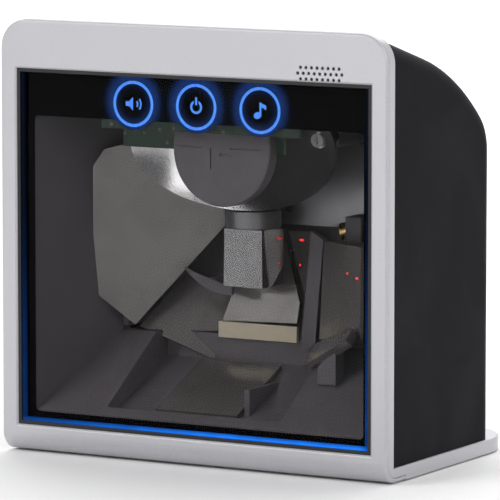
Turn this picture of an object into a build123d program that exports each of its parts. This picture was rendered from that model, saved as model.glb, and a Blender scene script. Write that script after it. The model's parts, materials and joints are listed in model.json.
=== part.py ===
from build123d import *
from math import atan2, cos, degrees, radians, sin
import os

# Upright presentation barcode scanner, millimetres.
# The window faces -Y, +Z is up, and the origin is under the middle of the foot.
# x is measured from the middle, d is the distance behind the front face,
# and h is the height above the underside of the foot.

# overall sizes
overall_width = 150.0
overall_depth = 100.0
frame_height = 149.5
foot_pad_proud = 0.5

# silver front and foot
skin = 1.4
plate_depth = 5.3
foot_thickness = 4.8
bend_radius = 7.0
skin_return = 14.0
top_corner_radius = 10.0
foot_corner_radius = 23.0
edge_chamfer = 0.6
seam_chamfer = 0.35
part_gap = 0.1

# window opening in the silver face and the clear view through the pane
opening_side_band = 6.2
opening_bottom = 9.6
opening_top_band = 16.8
border = 4.8
top_border = 16.4
bottom_border = 4.3

# pane, print and light guide
pane_front = 2.6
pane_thickness = 2.0
pane_cover = 2.0
pane_top_cover = 0.3
print_thickness = 0.2
liner_lip = 1.2
liner_front = 0.7
guide_width = 1.3
guide_front = 1.2

# touch zones
touch_pitch = 24.6
touch_drop = 10.7
ring_radius = 7.35
ring_line = 1.0
halo_radius = 8.9
pipe_depth = 2.1
board_thickness = 1.6

# speaker
speaker_x = 49.65
speaker_rise = 2.9
hole_pitch = 2.07
row_pitch = 1.92
hole_radius = 0.55

# rear housing
wall = 2.2
housing_inset = 1.0
top_step = 1.7
top_slope = 15.5
top_run = 31.9
crown_radius = 95.0
crown_end = 42.0
shoulder_radius = 18.0
housing_edge_radius = 7.0
scoop_width = 130.0
scoop_front = 16.0
scoop_length = 20.0
scoop_depth = 8.0

# optics tray behind the window
flange = 2.0
tray_wall = 2.0
funnel_end = 42.0
funnel_width = 102.8
funnel_floor = 38.5
funnel_ceiling = 127.0
collar_length = 5.0
well_left = -38.0
well_right = 30.0
well_front = 9.0
well_back = 50.0
well_floor_front = 12.0
well_floor_back = 29.5

# mirrors and their carrier
mirror_thickness = 2.0
pad_thickness = 1.6
carrier_back = 66.0
carrier_plate = 2.0
carrier_bottom = 34.0
carrier_top = 114.0

# collector and light sensor
collector_x = 2.3
collector_h = 106.5
collector_half_width = 40.0
collector_half_height = 22.0
collector_trim = 120.0
collector_depth = 34.0
collector_sphere = 90.0
collector_thickness = 1.6
collector_screw_h = 110.5
collector_screw_x = 32.0
cover_x = 5.4
cover_radius = 18.7
cover_h = 106.5
cover_front = 12.0
cover_depth = 5.0
sensor_board_d = cover_front + cover_depth
sensor_board_bottom = 106.0

# spinning mirror
spin_d = 44.0
polygon_side = 15.0
polygon_bottom = 57.3
polygon_top = 77.3
spindle_radius = 1.5
running_clearance = 0.05
bell_radius = 9.5
bell_height = 6.2
bell_wall = 1.2
stator_radius = 7.4
shelf_bottom = 87.0
shelf_thickness = 2.0
shelf_half_width = 11.5
bracket_d = 57.0
bracket_plate = 1.6

# laser
laser_radius = 3.2
laser_length = 13.0

# foot underside and electronics
cover_plate = 1.5
pad_radius = 6.0
pad_recess = 1.0
boss_radius = 3.5
screw_radius = 1.25
head_radius = 2.4
main_board_h = 8.0

head_height = 1.6
head_recess = 2.2
lug_rise = 4.0
lug_d = 13.0
screw_pitch_y = 50.0
screw_middle = plate_depth + 43.0
board_front = 30.0
board_half = 50.0

# lines worked out from the sizes above
half_width = overall_width / 2
opening_half = half_width - opening_side_band
opening_top = frame_height - opening_top_band
clear_half = opening_half - border
clear_bottom = opening_bottom + bottom_border
clear_top = opening_top - top_border
pane_half = opening_half + pane_cover
pane_bottom = opening_bottom - pane_cover
pane_top = opening_top + pane_top_cover
pane_back = pane_front + pane_thickness
print_back = pane_back + print_thickness
touch_h = opening_top - touch_drop
speaker_h = opening_top + speaker_rise
housing_half = half_width - housing_inset
tray_half = housing_half - wall - 2 * part_gap
screw_pitch_x = 2 * (housing_half - wall - boss_radius)
pocket_half = half_width - foot_corner_radius / 2
lug_x = pocket_half - 6
carrier_half = funnel_width / 2
carrier_screw_spots = [(funnel_end + collar_length / 2, 60), (funnel_end + collar_length / 2, 100)]
bracket_screw_spots = [(38, 103), (38, 87), (-3, 100)]
sensor_screw_spots = [(cover_x - 12, 115), (cover_x + 12, 115)]
collector_seat = 12.0
collector_head_d = 28.2
cover_top = 118.9
shelf_front = 37.0
bush_low = 79.4
data_width = 14.6
power_bore = 3.0
floor_post = (39.5, 27)
floor_post_h = 28.0


def behind(d):
    return d - overall_depth / 2


def above(h):
    return h + foot_pad_proud


def front_plane(d):
    # local (x, h), facing the customer; a negative extrusion goes deeper
    return Plane(origin=(0, behind(d), above(0)), x_dir=(1, 0, 0), z_dir=(0, -1, 0))


def level_plane(h):
    # local (x, d), facing up
    return Plane(origin=(0, behind(0), above(h)), x_dir=(1, 0, 0), z_dir=(0, 0, 1))


def side_plane(x=0.0):
    # local (d, h), facing +X
    return Plane(origin=(x, behind(0), above(0)), x_dir=(0, 1, 0), z_dir=(1, 0, 0))


def facing_plane(x, d, h, turn, lean):
    # a mirror's front: turn swings it towards +X, lean tips it up
    normal = (sin(radians(turn)) * cos(radians(lean)), -cos(radians(turn)) * cos(radians(lean)), sin(radians(lean)))
    across = (cos(radians(turn)), sin(radians(turn)), 0)
    return Plane(origin=(x, behind(d), above(h)), x_dir=across, z_dir=normal)


def box_between(x_low, x_high, d_low, d_high, h_low, h_high):
    # a plain block from its six faces
    with BuildPart() as block:
        with BuildSketch(level_plane(h_low)):
            with Locations(((x_low + x_high) / 2, (d_low + d_high) / 2)):
                Rectangle(x_high - x_low, d_high - d_low)
        extrude(amount=h_high - h_low)
    return block.part


# pattern mirrors: x, d, h of each middle, its turn and lean, and its outline on its own face
well_slope = (well_floor_back - well_floor_front) / (well_back - well_front)
floor_lean = degrees(atan2(1, well_slope))
floor_mirror_h = well_floor_front + (30 - well_front) * well_slope + mirror_thickness / sin(radians(floor_lean))
mirrors = {
    "mirror_left": ((-40, 39, 70), 30, -4,
                    [(-18.5, -17), (-4, -29), (29, 8), (27, 12), (10, 33), (-7, 35), (-14.5, 33), (-18.5, 27)]),
    "mirror_lower_left": ((-30, 52, 45), 19, 23, [(-3, 13.5), (-17.5, -5.5), (10, -17), (15.5, 8)]),
    "mirror_centre": ((-5, 56.5, 58), 6, 11,
                      [(-12.5, -15.5), (15.5, -15), (16, -8), (7.5, 18), (-1.5, 18), (-6.5, 5)]),
    "mirror_inner_right": ((15, 55, 65), -20, 5, [(-11, 10), (-0.5, -11), (2.5, 10.5)]),
    "mirror_right": ((36, 38, 60), -38, 3, [(-13, 14), (-13, -20), (21, -15.5), (18, 15)]),
    "mirror_lower_right": ((37, 31.3, 42.1), -55, 42, [(-18, -5), (-7.5, -13), (21, 4), (14, 9)]),
    "mirror_floor": ((-6, 30, floor_mirror_h), 0, floor_lean, [(-16, -17), (16, -17), (16, 17), (-16, 17)]),
}
# the post behind each mirror: x, h, width and height, reaching back to the carrier's plate
posts = {
    "mirror_left": (-40, 68, 12, 16),
    "mirror_lower_left": (-29, 45, 10, 8),
    "mirror_centre": (-1, 60, 9, 14),
    "mirror_inner_right": (13.5, 69, 4, 8),
    "mirror_right": (36, 57, 12, 14),
}


def mirror_face(name):
    place, turn, lean = mirrors[name][:3]
    return facing_plane(*place, turn, lean)


def mirror_plate(name):
    # glass plate, trimmed where it would meet the tray
    with BuildPart() as plate:
        with BuildSketch(mirror_face(name)):
            with BuildLine():
                Polyline(*mirrors[name][3], close=True)
            make_face()
        extrude(amount=-mirror_thickness)
        add(mirror_room.part, mode=Mode.INTERSECT)
    return plate.part.solids().sort_by(SortBy.VOLUME)[-1]


def mirror_seat(name, room):
    # pad behind the mirror, on a post that is cut off at the pad's back
    face = mirror_face(name)
    with BuildPart() as seat:
        if name in posts:
            x, h, width, height = posts[name]
            with BuildSketch(front_plane(carrier_back)):
                with Locations((x, h)):
                    Rectangle(width, height)
            extrude(amount=carrier_back)
        else:
            with BuildSketch(level_plane(floor_post_h)):
                with Locations(floor_post):
                    Rectangle(7, 6)
            extrude(amount=40)
        split(bisect_by=face.offset(-mirror_thickness), keep=Keep.BOTTOM)
        with BuildSketch(face.offset(-mirror_thickness)):
            with BuildLine():
                Polyline(*mirrors[name][3], close=True)
            make_face()
            offset(amount=-1, mode=Mode.REPLACE)
        extrude(amount=-pad_thickness)
        add(room, mode=Mode.INTERSECT)
    return seat.part.solids().sort_by(SortBy.VOLUME)[-1]


def save(piece, name):
    piece.label = name
    export_step(piece, f"parts/{name}.step")


os.makedirs("parts", exist_ok=True)

# ---- silver front skin, wrapped round the lower bend
with BuildPart() as front_bezel:
    with BuildSketch(side_plane()):
        with BuildLine():
            Line((0, frame_height), (0, bend_radius))
            outer_bend = JernArc((0, bend_radius), (0, -1), bend_radius, 90)
            Line(outer_bend @ 1, (skin_return, 0))
            Line((skin_return, 0), (skin_return, skin))
            Line((skin_return, skin), (bend_radius, skin))
            inner_bend = JernArc((bend_radius, skin), (-1, 0), bend_radius - skin, -90)
            Line(inner_bend @ 1, (skin, frame_height))
            Line((skin, frame_height), (0, frame_height))
        make_face()
    extrude(amount=half_width, both=True)
    fillet(front_bezel.edges().filter_by(Axis.Y).group_by(Axis.Z)[-1], radius=top_corner_radius)
    chamfer(front_bezel.faces().sort_by(Axis.Y)[0].edges().sort_by(Axis.Z)[-1], length=edge_chamfer)
    with BuildSketch(front_plane(0)):
        with Locations((0, (opening_bottom + opening_top) / 2)):
            Rectangle(2 * opening_half, opening_top - opening_bottom)
    extrude(amount=-2 * skin, mode=Mode.SUBTRACT)
    opening_edges = front_bezel.faces().sort_by(Axis.Y)[0].inner_wires()[0].edges()
    chamfer(opening_edges, length=edge_chamfer)
    for row, holes in ((-1, 8), (0, 9), (1, 8)):
        with BuildSketch(front_plane(0)):
            with Locations((speaker_x, speaker_h + row * row_pitch)):
                with GridLocations(hole_pitch, 1, holes, 1):
                    Circle(hole_radius)
        extrude(amount=-skin, mode=Mode.SUBTRACT)
save(front_bezel.part, "front_bezel")

# ---- L-shaped frame: upright plate and foot in one piece
board_back = plate_depth + 70
board_middle = (board_front + board_back) / 2
board_pitch_x = 2 * (board_half - boss_radius - 2)
board_pitch_y = board_back - board_front - 2 * (boss_radius + 1)
with BuildPart() as foot_frame:
    with BuildSketch(side_plane()):
        with BuildLine():
            Line((skin, frame_height), (skin, bend_radius))
            frame_bend = JernArc((skin, bend_radius), (0, -1), bend_radius - skin, 90)
            Line(frame_bend @ 1, (skin_return + part_gap, skin))
            Line((skin_return + part_gap, skin), (skin_return + part_gap, 0))
            Line((skin_return + part_gap, 0), (overall_depth, 0))
            Line((overall_depth, 0), (overall_depth, foot_thickness))
            Line((overall_depth, foot_thickness), (plate_depth, foot_thickness))
            Line((plate_depth, foot_thickness), (plate_depth, frame_height))
            Line((plate_depth, frame_height), (skin, frame_height))
        make_face()
    extrude(amount=half_width, both=True)
    fillet(foot_frame.edges().filter_by(Axis.Y).group_by(Axis.Z)[-1], radius=top_corner_radius)
    fillet(foot_frame.edges().filter_by(Axis.Z).group_by(Axis.Y)[-1], radius=foot_corner_radius)
    chamfer(foot_frame.faces().sort_by(Axis.Y)[-1].edges().sort_by(Axis.Z)[-1], length=seam_chamfer)
    chamfer(foot_frame.faces().sort_by(Axis.Y)[0].edges().sort_by(Axis.Z)[-1], length=seam_chamfer)
    with BuildSketch(front_plane(0)):
        with Locations((0, (pane_bottom + pane_top) / 2)):
            Rectangle(2 * (pane_half + part_gap), pane_top - pane_bottom + 2 * part_gap)
        with Locations((speaker_x, speaker_h)):
            Rectangle(10 * hole_pitch, 4 * row_pitch)
    extrude(amount=-plate_depth, mode=Mode.SUBTRACT)
    # shallow pocket under the foot for its cover
    with BuildSketch(level_plane(0)):
        with Locations((0, (skin_return + overall_depth) / 2)):
            RectangleRounded(2 * pocket_half, overall_depth - skin_return - 16, 12)
    extrude(amount=cover_plate, mode=Mode.SUBTRACT)
    # four housing screws pass up through the foot
    with BuildSketch(level_plane(0)):
        with Locations((0, screw_middle)):
            with GridLocations(screw_pitch_x, screw_pitch_y, 2, 2):
                Circle(screw_radius + part_gap)
    extrude(amount=foot_thickness, mode=Mode.SUBTRACT)
    with BuildSketch(level_plane(0)):
        with Locations((0, screw_middle)):
            with GridLocations(screw_pitch_x, screw_pitch_y, 2, 2):
                Circle(head_radius + part_gap)
    extrude(amount=head_recess, mode=Mode.SUBTRACT)
    # bosses that take the tray's lower lugs and the main board
    with BuildSketch(level_plane(foot_thickness)):
        with Locations((-lug_x, lug_d), (lug_x, lug_d)):
            Circle(boss_radius)
    extrude(amount=lug_rise)
    with BuildSketch(level_plane(foot_thickness + lug_rise)):
        with Locations((-lug_x, lug_d), (lug_x, lug_d)):
            Circle(screw_radius)
    extrude(amount=-lug_rise + 0.5, mode=Mode.SUBTRACT)
    with BuildSketch(level_plane(foot_thickness)):
        with Locations((0, board_middle)):
            with GridLocations(board_pitch_x, board_pitch_y, 2, 2):
                Circle(boss_radius)
                Circle(screw_radius, mode=Mode.SUBTRACT)
    extrude(amount=main_board_h - foot_thickness)
save(foot_frame.part, "foot_frame")

# ---- cover let into the underside of the foot, with four pads
cover_length = overall_depth - skin_return - 16
cover_middle = (skin_return + overall_depth) / 2
pad_pitch_x = 2 * (pocket_half - pad_radius - 3)
pad_pitch_y = cover_length - 2 * (pad_radius + 3)
with BuildPart() as base_cover:
    with BuildSketch(level_plane(0)):
        with Locations((0, cover_middle)):
            RectangleRounded(2 * (pocket_half - part_gap), cover_length - 2 * part_gap, 12 - part_gap)
    extrude(amount=cover_plate)
    with BuildSketch(level_plane(0)):
        with Locations((0, cover_middle)):
            with GridLocations(pad_pitch_x, pad_pitch_y, 2, 2):
                Circle(pad_radius)
    extrude(amount=pad_recess, mode=Mode.SUBTRACT)
save(base_cover.part, "base_cover")

with BuildPart() as rubber_feet:
    with BuildSketch(level_plane(pad_recess)):
        with Locations((0, cover_middle)):
            with GridLocations(pad_pitch_x, pad_pitch_y, 2, 2):
                Circle(pad_radius - part_gap)
    extrude(amount=-(pad_recess + foot_pad_proud))
    chamfer(rubber_feet.faces().filter_by(Axis.Z).group_by(Axis.Z)[0].edges(), length=0.3)
save(rubber_feet.part, "rubber_feet")

# ---- black liner between the skin and the pane
with BuildPart() as window_liner:
    with BuildSketch(front_plane(skin)):
        with Locations((0, (pane_bottom + opening_top + 0.2) / 2)):
            Rectangle(2 * pane_half, opening_top + 0.2 - pane_bottom)
    extrude(amount=-(pane_front - skin))
    with BuildSketch(front_plane(liner_front)):
        with Locations((0, (opening_bottom + opening_top) / 2)):
            Rectangle(2 * (opening_half - part_gap), opening_top - opening_bottom - 2 * part_gap)
    extrude(amount=-(skin - liner_front))
    with BuildSketch(front_plane(0)):
        with Locations((0, (opening_bottom + opening_top) / 2)):
            Rectangle(2 * (opening_half - liner_lip), opening_top - opening_bottom - 2 * liner_lip)
    extrude(amount=-pane_front, mode=Mode.SUBTRACT)
    # seat of the light board, open to the light guide above it
    with BuildSketch(front_plane(pane_front - 1)):
        with Locations((0, (pane_bottom + opening_bottom + liner_lip) / 2)):
            Rectangle(100 + 2 * part_gap, opening_bottom + liner_lip - pane_bottom)
    extrude(amount=-1, mode=Mode.SUBTRACT)
save(window_liner.part, "window_liner")

# ---- U-shaped light guide inside the liner, open at the top
guide_outer = opening_half - liner_lip
guide_low = opening_bottom + liner_lip
guide_high = opening_top - liner_lip
with BuildPart() as light_guide:
    with BuildSketch(front_plane(guide_front)):
        with Locations((0, (guide_low + guide_high) / 2)):
            Rectangle(2 * guide_outer, guide_high - guide_low)
        with Locations((0, (guide_low + guide_width + guide_high) / 2)):
            Rectangle(2 * (guide_outer - guide_width), guide_high - guide_low - guide_width, mode=Mode.SUBTRACT)
    extrude(amount=-(pane_front - guide_front))
    chamfer(light_guide.faces().sort_by(Axis.Y)[0].edges(), length=0.2)
save(light_guide.part, "light_guide")

with BuildPart() as light_board:
    with BuildSketch(front_plane(pane_front)):
        with Locations((0, (pane_bottom + guide_low) / 2)):
            Rectangle(100, guide_low - pane_bottom)
    extrude(amount=0.6)
    with BuildSketch(front_plane(pane_front - 0.6)):
        with Locations((0, guide_low - 0.8)):
            with GridLocations(18, 1, 6, 1):
                Rectangle(3, 1.4)
    extrude(amount=0.4)
save(light_board.part, "light_board")

# ---- smoked pane and the black print on its back
with BuildPart() as window_pane:
    with BuildSketch(front_plane(pane_front)):
        with Locations((0, (pane_bottom + pane_top) / 2)):
            Rectangle(2 * pane_half, pane_top - pane_bottom)
    extrude(amount=-pane_thickness)
save(window_pane.part, "window_pane")

touch_spots = [(-touch_pitch, touch_h), (0, touch_h), (touch_pitch, touch_h)]


def ring_outline():
    with BuildSketch() as ring:
        Circle(ring_radius + ring_line / 2)
        Circle(ring_radius - ring_line / 2, mode=Mode.SUBTRACT)
    return ring.sketch


def wave_outline(radius):
    with BuildSketch() as wave:
        with Locations((0.2, 0)):
            Circle(radius + 0.3)
            Circle(radius - 0.3, mode=Mode.SUBTRACT)
        with BuildLine():
            Polyline((0.2, 0), (6, 4.6), (6, -4.6), (0.2, 0))
        make_face(mode=Mode.INTERSECT)
    return wave.sketch


def volume_symbol():
    # loudspeaker body with two sound waves
    with BuildSketch() as symbol:
        with BuildLine():
            Polyline((-3, 0.8), (-1.7, 0.8), (-0.1, 2.3), (-0.1, -2.3), (-1.7, -0.8), (-3, -0.8), (-3, 0.8))
        make_face()
        add(wave_outline(1.5))
        add(wave_outline(2.8))
    return symbol.sketch


def power_symbol():
    # broken circle with an upright bar
    with BuildSketch() as symbol:
        Circle(2.3)
        Circle(1.5, mode=Mode.SUBTRACT)
        with Locations((0, 2)):
            Rectangle(1.9, 2.4, mode=Mode.SUBTRACT)
        with Locations((0, 2)):
            Rectangle(0.8, 2.6)
    return symbol.sketch


def tone_symbol():
    # single musical note
    with BuildSketch() as symbol:
        with Locations((-0.9, -1.7)):
            Ellipse(1.5, 1.1, rotation=20)
        with Locations((0.2, 0.5)):
            Rectangle(0.7, 4.4)
        with BuildLine():
            Polyline((-0.15, 2.7), (2.4, 1.7), (2.4, 0.2), (0.5, 1.2), (-0.15, 2.7))
        make_face()
    return symbol.sketch


touch_symbols = {"volume": volume_symbol(), "power": power_symbol(), "tone": tone_symbol()}

with BuildPart() as window_mask:
    with BuildSketch(front_plane(pane_back)):
        with Locations((0, (pane_bottom + pane_top) / 2)):
            Rectangle(2 * pane_half, pane_top - pane_bottom)
        with BuildSketch(mode=Mode.PRIVATE) as clear_view:
            with Locations((0, (clear_bottom + clear_top) / 2)):
                RectangleRounded(2 * clear_half, clear_top - clear_bottom, 1.5)
            with Locations(touch_spots):
                Circle(halo_radius, mode=Mode.SUBTRACT)
        add(clear_view.sketch, mode=Mode.SUBTRACT)
        for spot, symbol in zip(touch_spots, touch_symbols.values()):
            add(ring_outline().moved(Location((spot[0], spot[1], 0))), mode=Mode.SUBTRACT)
            add(symbol.moved(Location((spot[0], spot[1], 0))), mode=Mode.SUBTRACT)
    extrude(amount=-print_thickness)
mask_part = window_mask.part
save(mask_part, "window_mask")

for spot, (name, symbol) in zip(touch_spots, touch_symbols.items()):
    with BuildPart() as light_pipe:
        with BuildSketch(front_plane(print_back)):
            with Locations(spot):
                Circle(halo_radius - part_gap)
        extrude(amount=-pipe_depth)
        with BuildSketch(front_plane(print_back)):
            add(ring_outline().moved(Location((spot[0], spot[1], 0))))
            add(symbol.moved(Location((spot[0], spot[1], 0))))
        extrude(amount=print_thickness)
    save(light_pipe.part, f"{name}_light_pipe")

touch_board_d = print_back + pipe_depth
touch_board_half = touch_pitch + halo_radius + 5
touch_board_low = touch_h - halo_radius
touch_board_high = min(touch_h + halo_radius, pane_top - 0.5)
with BuildPart() as touch_board:
    add(box_between(-touch_board_half, touch_board_half, touch_board_d, touch_board_d + board_thickness,
                    touch_board_low, touch_board_high))
    add(box_between(-8, 8, touch_board_d + board_thickness, touch_board_d + board_thickness + 1.2,
                    touch_h - 3, touch_h + 4))
save(touch_board.part, "touch_board")

# ---- speaker behind the grille, in a foam gasket
with BuildPart() as speaker_gasket:
    with BuildSketch(front_plane(skin)):
        with Locations((speaker_x, (pane_top + part_gap + speaker_h + 2 * row_pitch - part_gap) / 2)):
            Rectangle(10 * hole_pitch - 2 * part_gap, speaker_h + 2 * row_pitch - pane_top - 2 * part_gap)
        with Locations((speaker_x, speaker_h - 1)):
            Rectangle(9 * hole_pitch, 4 * row_pitch, mode=Mode.SUBTRACT)
    extrude(amount=-(plate_depth - skin))
save(speaker_gasket.part, "speaker_gasket")

speaker_low = opening_top - 3
with BuildPart() as speaker:
    with BuildSketch(front_plane(plate_depth)):
        with Locations((speaker_x, speaker_low + 6)):
            RectangleRounded(11 * hole_pitch, 12, 3)
    extrude(amount=-4.5)
    with BuildSketch(front_plane(plate_depth + 4.5)):
        with Locations((speaker_x, speaker_low + 6)):
            Circle(4.2)
    extrude(amount=-1.8)
save(speaker.part, "speaker")


# ---- rear housing: a sloping crown that turns down into the back
def crown_outline(inset, start, bottom):
    # side view (d, h) of the housing, drawn inset from its outside
    lift = -inset / cos(radians(top_slope))
    top_start = frame_height - top_step + lift
    run = top_run
    slope = (cos(radians(top_slope)), -sin(radians(top_slope)))
    with BuildLine() as outline:
        top = Line((start, top_start), (start + run * slope[0], top_start + run * slope[1]))
        crown = JernArc(top @ 1, top % 1, crown_radius - inset, top_slope - crown_end)
        shoulder = JernArc(crown @ 1, crown % 1, shoulder_radius - inset, crown_end - 90)
        back = Line(shoulder @ 1, ((shoulder @ 1).X, bottom))
        floor = Line(back @ 1, (start, bottom))
        Line(floor @ 1, top @ 0)
    return outline.line


with BuildPart() as housing_solid:
    with BuildSketch(side_plane()):
        add(crown_outline(0, plate_depth, foot_thickness))
        make_face()
    extrude(amount=housing_half, both=True)
    back_edge = housing_solid.faces().sort_by(Axis.Y)[-1]
    fillet(back_edge.edges().filter_by(Axis.Z), radius=housing_edge_radius)

scoop_floor = frame_height - top_step - scoop_depth - scoop_length * sin(radians(top_slope))
with BuildPart() as scoop:
    with BuildSketch(level_plane(frame_height)):
        with Locations((0, scoop_front + scoop_length / 2)):
            SlotOverall(scoop_width, scoop_length)
    extrude(amount=-(frame_height - scoop_floor))
    fillet(scoop.faces().sort_by(Axis.Z)[0].edges(), radius=3)

with BuildPart() as scoop_shell:
    with BuildSketch(level_plane(frame_height)):
        with Locations((0, scoop_front + scoop_length / 2)):
            SlotOverall(scoop_width + 2 * wall, scoop_length + 2 * wall)
    extrude(amount=-(frame_height - scoop_floor + wall))

with BuildPart() as housing_room:
    with BuildSketch(side_plane()):
        add(crown_outline(wall, plate_depth, foot_thickness))
        make_face()
    extrude(amount=housing_half - wall, both=True)
    room_back = housing_room.faces().sort_by(Axis.Y)[-1]
    fillet(room_back.edges().filter_by(Axis.Z), radius=housing_edge_radius - wall)
    add(scoop_shell.part, mode=Mode.SUBTRACT)

housing_back = housing_solid.part.bounding_box().max.Y + overall_depth / 2
room_back_d = housing_back - wall
data_x = -14.0
power_x = 16.0
socket_low = main_board_h + board_thickness
with BuildPart() as rear_housing:
    add(housing_solid.part)
    add(housing_room.part, mode=Mode.SUBTRACT)
    add(scoop.part, mode=Mode.SUBTRACT)
    # bosses for the screws that come up through the foot
    with BuildSketch(level_plane(foot_thickness)):
        with Locations((0, screw_middle)):
            with GridLocations(screw_pitch_x, screw_pitch_y, 2, 2):
                Circle(boss_radius + 0.6)
    extrude(amount=12)
    with BuildSketch(level_plane(foot_thickness)):
        with Locations((0, screw_middle)):
            with GridLocations(screw_pitch_x, screw_pitch_y, 2, 2):
                Circle(screw_radius)
    extrude(amount=10, mode=Mode.SUBTRACT)
    # openings for the two sockets low in the back
    with BuildSketch(front_plane(housing_back)):
        with Locations((data_x, socket_low + 6)):
            Rectangle(data_width + 0.6, 12.6)
        with Locations((power_x, socket_low + 5.5)):
            Circle(4.4)
    extrude(amount=wall + 1, mode=Mode.SUBTRACT)
save(rear_housing.part, "rear_housing")

# ---- optics tray: front flange, funnel and the well in its floor
flange_front = plate_depth
mouth_half = clear_half + 1.6
mouth_low = clear_bottom - 0.3
mouth_high = clear_top + 1.5
tray_top = opening_top - 4


def funnel_block(start, grow):
    # the funnel's taper from the mouth, then the straight collar
    with BuildPart() as block:
        with BuildSketch(front_plane(start)):
            with Locations((0, (mouth_low + mouth_high) / 2)):
                Rectangle(2 * (mouth_half + grow), mouth_high - mouth_low + 2 * grow)
        with BuildSketch(front_plane(funnel_end)):
            with Locations((0, (funnel_floor + funnel_ceiling) / 2)):
                Rectangle(funnel_width + 2 * grow, funnel_ceiling - funnel_floor + 2 * grow)
        loft()
        with BuildSketch(front_plane(funnel_end)):
            with Locations((0, (funnel_floor + funnel_ceiling) / 2)):
                Rectangle(funnel_width + 2 * grow, funnel_ceiling - funnel_floor + 2 * grow)
        extrude(amount=-collar_length)
    return block.part


def floor_at(d):
    # height of the funnel's sloping floor
    return mouth_low + (d - flange_front) / (funnel_end - flange_front) * (funnel_floor - mouth_low)


def well_block(grow, lift):
    # the well's side view, pushed across its width; lift carries its top above the funnel's floor
    with BuildPart() as block:
        with BuildSketch(side_plane((well_left + well_right) / 2)):
            with BuildLine():
                Polyline((well_front - grow, well_floor_front - grow), (well_back + grow, well_floor_back - grow),
                         (well_back + grow, funnel_floor + lift), (funnel_end, funnel_floor + lift),
                         (well_front - grow, floor_at(well_front - grow) + lift), close=True)
            make_face()
        extrude(amount=(well_right - well_left) / 2 + grow, both=True)
    return block.part


# space that the mirrors and their seats may fill
mirror_gap = 0.3
with BuildPart() as mirror_room:
    add(funnel_block(flange_front, -mirror_gap))
    add(well_block(-mirror_gap, 4))
    inner_half = carrier_half - carrier_plate - mirror_gap
    add(box_between(-inner_half, inner_half, funnel_end, carrier_back, funnel_floor + mirror_gap, carrier_top))


with BuildPart() as optics_tray:
    with BuildSketch(front_plane(flange_front)):
        with Locations((0, (pane_bottom + tray_top) / 2)):
            Rectangle(2 * tray_half, tray_top - pane_bottom)
    extrude(amount=-flange)
    # raised rim that presses on the printed border of the pane
    with BuildSketch(front_plane(print_back)):
        with Locations((0, (mouth_low + mouth_high) / 2)):
            Rectangle(2 * (mouth_half + tray_wall), mouth_high - mouth_low + 2 * tray_wall)
    extrude(amount=-(flange_front - print_back))
    add(funnel_block(flange_front, tray_wall))
    add(well_block(tray_wall, 0))
    add(funnel_block(flange_front - 1, 0), mode=Mode.SUBTRACT)
    add(well_block(0, 4), mode=Mode.SUBTRACT)
    # the funnel's mouth and the room for the touch board and the speaker
    with BuildSketch(front_plane(0)):
        with Locations((0, (mouth_low + mouth_high) / 2)):
            Rectangle(2 * mouth_half, mouth_high - mouth_low)
    extrude(amount=-flange_front - 0.2, mode=Mode.SUBTRACT)
    add(box_between(-touch_board_half - 0.5, touch_board_half + 0.5, 0, touch_board_d,
                    touch_board_low - 0.5, frame_height), mode=Mode.SUBTRACT)
    add(box_between(-touch_board_half - 0.5, touch_board_half + 0.5, touch_board_d, touch_board_d + 4,
                    touch_board_low - 0.5, frame_height), mode=Mode.SUBTRACT)
    add(box_between(speaker_x - 12, speaker_x + 12, 0, flange_front + flange, speaker_low - 0.5, frame_height),
        mode=Mode.SUBTRACT)
    # lower lugs on the foot's bosses
    for side in (-1, 1):
        add(box_between(side * lug_x - 4, side * lug_x + 4, flange_front + 1, lug_d + 4,
                        foot_thickness + lug_rise, foot_thickness + lug_rise + flange))
    with BuildSketch(level_plane(foot_thickness + lug_rise)):
        with Locations((-lug_x, lug_d), (lug_x, lug_d)):
            Circle(screw_radius + part_gap)
    extrude(amount=flange, mode=Mode.SUBTRACT)
    # rib standing in the well, beside the floor mirror
    add(box_between(11, 13, 18, 40, 15, 25))
    # seat of the lower right mirror, standing on the funnel's floor
    add(mirror_seat("mirror_lower_right", funnel_block(flange_front, tray_wall)))
    # side holes for the carrier's screws
    for side in (-1, 1):
        with BuildSketch(side_plane(side * carrier_half)):
            with Locations(*carrier_screw_spots):
                Circle(screw_radius + part_gap)
        extrude(amount=side * (tray_wall + 0.5), mode=Mode.SUBTRACT)
    # block that carries the light sensor's board
    add(box_between(-20, 24, sensor_board_d + 1.2, sensor_board_d + 4, 112, 122))
    with BuildSketch(front_plane(sensor_board_d)):
        with Locations(*sensor_screw_spots):
            Circle(screw_radius)
    extrude(amount=-4, mode=Mode.SUBTRACT)
save(optics_tray.part, "optics_tray")

# ---- pattern mirrors and the carrier that holds them
for name in mirrors:
    save(mirror_plate(name), name)

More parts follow.
